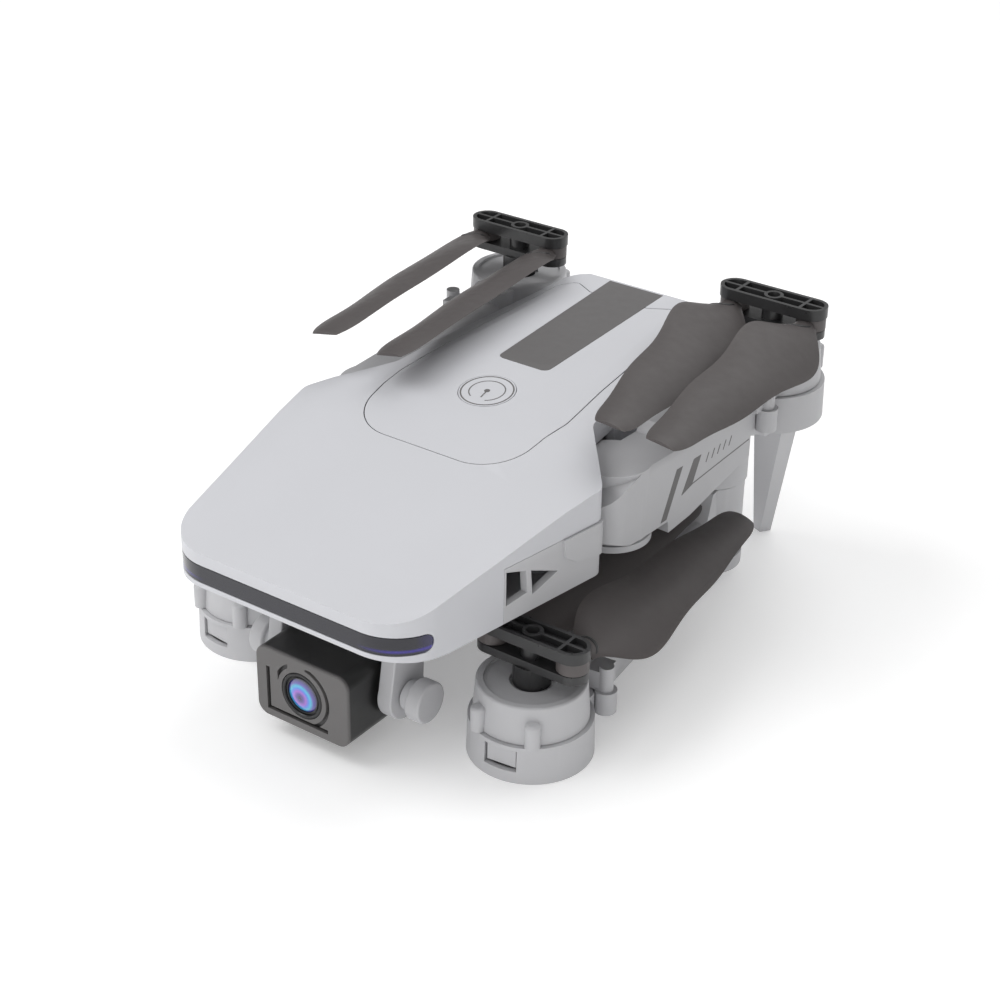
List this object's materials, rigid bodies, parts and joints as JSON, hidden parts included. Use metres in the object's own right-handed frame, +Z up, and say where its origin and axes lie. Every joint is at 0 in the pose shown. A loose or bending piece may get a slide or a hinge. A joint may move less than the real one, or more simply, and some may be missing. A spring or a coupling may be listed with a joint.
{
  "type": "folding quadcopter drone",
  "caption": "Folding camera drone, folded: wedge hull with lid panel, swing-out arms over geared rotor pods, pin-hinged folding blades, tilting camera, tail battery.",
  "frame": {"origin": "on the ground under the middle of the folded drone", "axes": "+Y towards the tail and the front arms' pods, +Z up, +X to the drone's left"},
  "size_m": [0.105, 0.1365, 0.0642],
  "materials": {
    "shell": "fine matt",
    "arm_grey": "fine matt",
    "stripe": "flat matt",
    "light_bar": "smoked gloss",
    "board": "solder mask",
    "black_plastic": "satin",
    "camera_grey": "fine matt",
    "lens": "coated glass",
    "blade": "matt, faintly warm",
    "hub_black": "satin",
    "gear_white": "moulded",
    "steel": "drawn",
    "gold": "plain",
    "cell": "foil wrap"
  },
  "bodies": {
    "hull": {"upper_shell": "shell", "lower_shell": "arm_grey", "top_panel": "shell", "top_stripe": "stripe", "light_bar": "light_bar", "flight_board": "board", "camera_bracket": "arm_grey", "belly_sensor": "black_plastic", "shell_screws": "steel", "battery_contacts": "gold", "power_switch": "black_plastic", "arm_pivot_pins": "steel"},
    "power_button": {"power_button": "shell"},
    "battery": {"battery_case": "shell", "battery_cell": "cell"},
    "camera": {"camera_housing": "camera_grey", "camera_cover": "black_plastic", "camera_knobs": "arm_grey", "lens_barrel": "black_plastic", "lens_glass": "lens"},
    "front_left_arm": {"front_left_arm": "arm_grey", "front_left_pod_cover": "arm_grey", "front_left_motor": "steel", "front_left_pod_screw": "steel"},
    "front_left_prop": {"front_left_hub": "hub_black", "front_left_main_gear": "gear_white", "front_left_shaft": "steel"},
    "front_left_pinion": {"front_left_pinion": "gold"},
    "front_left_blade_outer": {"front_left_blade_outer": "blade"},
    "front_left_blade_inner": {"front_left_blade_inner": "blade"},
    "front_right_arm": {"front_right_arm": "arm_grey", "front_right_pod_cover": "arm_grey", "front_right_motor": "steel", "front_right_pod_screw": "steel"},
    "front_right_prop": {"front_right_hub": "hub_black", "front_right_main_gear": "gear_white", "front_right_shaft": "steel"},
    "front_right_pinion": {"front_right_pinion": "gold"},
    "front_right_blade_outer": {"front_right_blade_outer": "blade"},
    "front_right_blade_inner": {"front_right_blade_inner": "blade"},
    "rear_left_arm": {"rear_left_arm": "arm_grey", "rear_left_pod_cover": "arm_grey", "rear_left_motor": "steel", "rear_left_pod_screw": "steel"},
    "rear_left_prop": {"rear_left_hub": "hub_black", "rear_left_main_gear": "gear_white", "rear_left_shaft": "steel"},
    "rear_left_pinion": {"rear_left_pinion": "gold"},
    "rear_left_blade_outer": {"rear_left_blade_outer": "blade"},
    "rear_left_blade_inner": {"rear_left_blade_inner": "blade"},
    "rear_right_arm": {"rear_right_arm": "arm_grey", "rear_right_pod_cover": "arm_grey", "rear_right_motor": "steel", "rear_right_pod_screw": "steel"},
    "rear_right_prop": {"rear_right_hub": "hub_black", "rear_right_main_gear": "gear_white", "rear_right_shaft": "steel"},
    "rear_right_pinion": {"rear_right_pinion": "gold"},
    "rear_right_blade_outer": {"rear_right_blade_outer": "blade"},
    "rear_right_blade_inner": {"rear_right_blade_inner": "blade"}
  },
  "joints": [
    {"name": "power_button_press", "type": "slide", "parent": "hull", "child": "power_button", "axis": [0, 0, -1], "range_m": [0, 0.0005], "stiffness_N_per_m": 400, "springref_m": -0.0005},
    {"name": "battery_slide", "type": "slide", "parent": "hull", "child": "battery", "axis": [0, 1, 0], "range_m": [0, 0.05]},
    {"name": "camera_tilt", "type": "hinge", "parent": "hull", "child": "camera", "pos_m": [0, -0.0503, 0.012], "axis": [1, 0, 0], "range_deg": [-20, 60]},
    {"name": "front_left_fold", "type": "hinge", "parent": "hull", "child": "front_left_arm", "pos_m": [0.03, -0.002, 0.03], "axis": [0, 0, -1], "range_deg": [0, 114]},
    {"name": "front_left_prop_spin", "type": "hinge", "parent": "front_left_arm", "child": "front_left_prop", "pos_m": [0.03315, 0.0549, 0.06], "axis": [0, 0, 1], "range_deg": [0, 180]},
    {"name": "front_left_pinion_spin", "type": "hinge", "parent": "front_left_arm", "child": "front_left_pinion", "pos_m": [0.03258, 0.04453, 0.041], "axis": [0, 0, 1], "range_deg": [-1210, 10]},
    {"name": "front_left_blade_outer_open", "type": "hinge", "parent": "front_left_prop", "child": "front_left_blade_outer", "pos_m": [0.04235, 0.0549, 0.0604], "axis": [0, 0, 1], "range_deg": [0, 90]},
    {"name": "front_left_blade_inner_open", "type": "hinge", "parent": "front_left_prop", "child": "front_left_blade_inner", "pos_m": [0.02395, 0.0549, 0.0604], "axis": [0, 0, -1], "range_deg": [0, 90]},
    {"name": "front_right_fold", "type": "hinge", "parent": "hull", "child": "front_right_arm", "pos_m": [-0.03, -0.002, 0.03], "axis": [0, 0, 1], "range_deg": [0, 114]},
    {"name": "front_right_prop_spin", "type": "hinge", "parent": "front_right_arm", "child": "front_right_prop", "pos_m": [-0.03315, 0.0549, 0.06], "axis": [0, 0, -1], "range_deg": [0, 180]},
    {"name": "front_right_pinion_spin", "type": "hinge", "parent": "front_right_arm", "child": "front_right_pinion", "pos_m": [-0.03258, 0.04453, 0.041], "axis": [0, 0, -1], "range_deg": [-1210, 10]},
    {"name": "front_right_blade_outer_open", "type": "hinge", "parent": "front_right_prop", "child": "front_right_blade_outer", "pos_m": [-0.04235, 0.0549, 0.0604], "axis": [0, 0, -1], "range_deg": [0, 90]},
    {"name": "front_right_blade_inner_open", "type": "hinge", "parent": "front_right_prop", "child": "front_right_blade_inner", "pos_m": [-0.02395, 0.0549, 0.0604], "axis": [0, 0, 1], "range_deg": [0, 90]},
    {"name": "rear_left_fold", "type": "hinge", "parent": "hull", "child": "rear_left_arm", "pos_m": [0.027, 0.043, 0.015], "axis": [0, 0, 1], "range_deg": [0, 124]},
    {"name": "rear_left_prop_spin", "type": "hinge", "parent": "rear_left_arm", "child": "rear_left_prop", "pos_m": [0.0353, -0.0365, 0.023], "axis": [0, 0, -1], "range_deg": [0, 180]},
    {"name": "rear_left_pinion_spin", "type": "hinge", "parent": "rear_left_arm", "child": "rear_left_pinion", "pos_m": [0.03422, -0.02617, 0.004], "axis": [0, 0, -1], "range_deg": [-1210, 10]},
    {"name": "rear_left_blade_outer_open", "type": "hinge", "parent": "rear_left_prop", "child": "rear_left_blade_outer", "pos_m": [0.0445, -0.0365, 0.0232], "axis": [0, 0, -1], "range_deg": [0, 90]},
    {"name": "rear_left_blade_inner_open", "type": "hinge", "parent": "rear_left_prop", "child": "rear_left_blade_inner", "pos_m": [0.0261, -0.0365, 0.0232], "axis": [0, 0, 1], "range_deg": [0, 90]},
    {"name": "rear_right_fold", "type": "hinge", "parent": "hull", "child": "rear_right_arm", "pos_m": [-0.027, 0.043, 0.015], "axis": [0, 0, -1], "range_deg": [0, 124]},
    {"name": "rear_right_prop_spin", "type": "hinge", "parent": "rear_right_arm", "child": "rear_right_prop", "pos_m": [-0.0353, -0.0365, 0.023], "axis": [0, 0, 1], "range_deg": [0, 180]},
    {"name": "rear_right_pinion_spin", "type": "hinge", "parent": "rear_right_arm", "child": "rear_right_pinion", "pos_m": [-0.03422, -0.02617, 0.004], "axis": [0, 0, 1], "range_deg": [-1210, 10]},
    {"name": "rear_right_blade_outer_open", "type": "hinge", "parent": "rear_right_prop", "child": "rear_right_blade_outer", "pos_m": [-0.0445, -0.0365, 0.0232], "axis": [0, 0, 1], "range_deg": [0, 90]},
    {"name": "rear_right_blade_inner_open", "type": "hinge", "parent": "rear_right_prop", "child": "rear_right_blade_inner", "pos_m": [-0.0261, -0.0365, 0.0232], "axis": [0, 0, -1], "range_deg": [0, 90]}
  ],
  "couplings": [
    {"joint": "front_left_pinion_spin", "follows": "front_left_prop_spin", "ratio": -6.6667},
    {"joint": "front_left_blade_inner_open", "follows": "front_left_fold", "ratio": 0.78947},
    {"joint": "front_right_pinion_spin", "follows": "front_right_prop_spin", "ratio": -6.6667},
    {"joint": "front_right_blade_inner_open", "follows": "front_right_fold", "ratio": 0.78947},
    {"joint": "rear_left_pinion_spin", "follows": "rear_left_prop_spin", "ratio": -6.6667},
    {"joint": "rear_left_blade_outer_open", "follows": "rear_left_fold", "ratio": 0.72581},
    {"joint": "rear_left_blade_inner_open", "follows": "rear_left_fold", "ratio": 0.72581},
    {"joint": "rear_right_pinion_spin", "follows": "rear_right_prop_spin", "ratio": -6.6667},
    {"joint": "rear_right_blade_outer_open", "follows": "rear_right_fold", "ratio": 0.72581},
    {"joint": "rear_right_blade_inner_open", "follows": "rear_right_fold", "ratio": 0.72581}
  ]
}
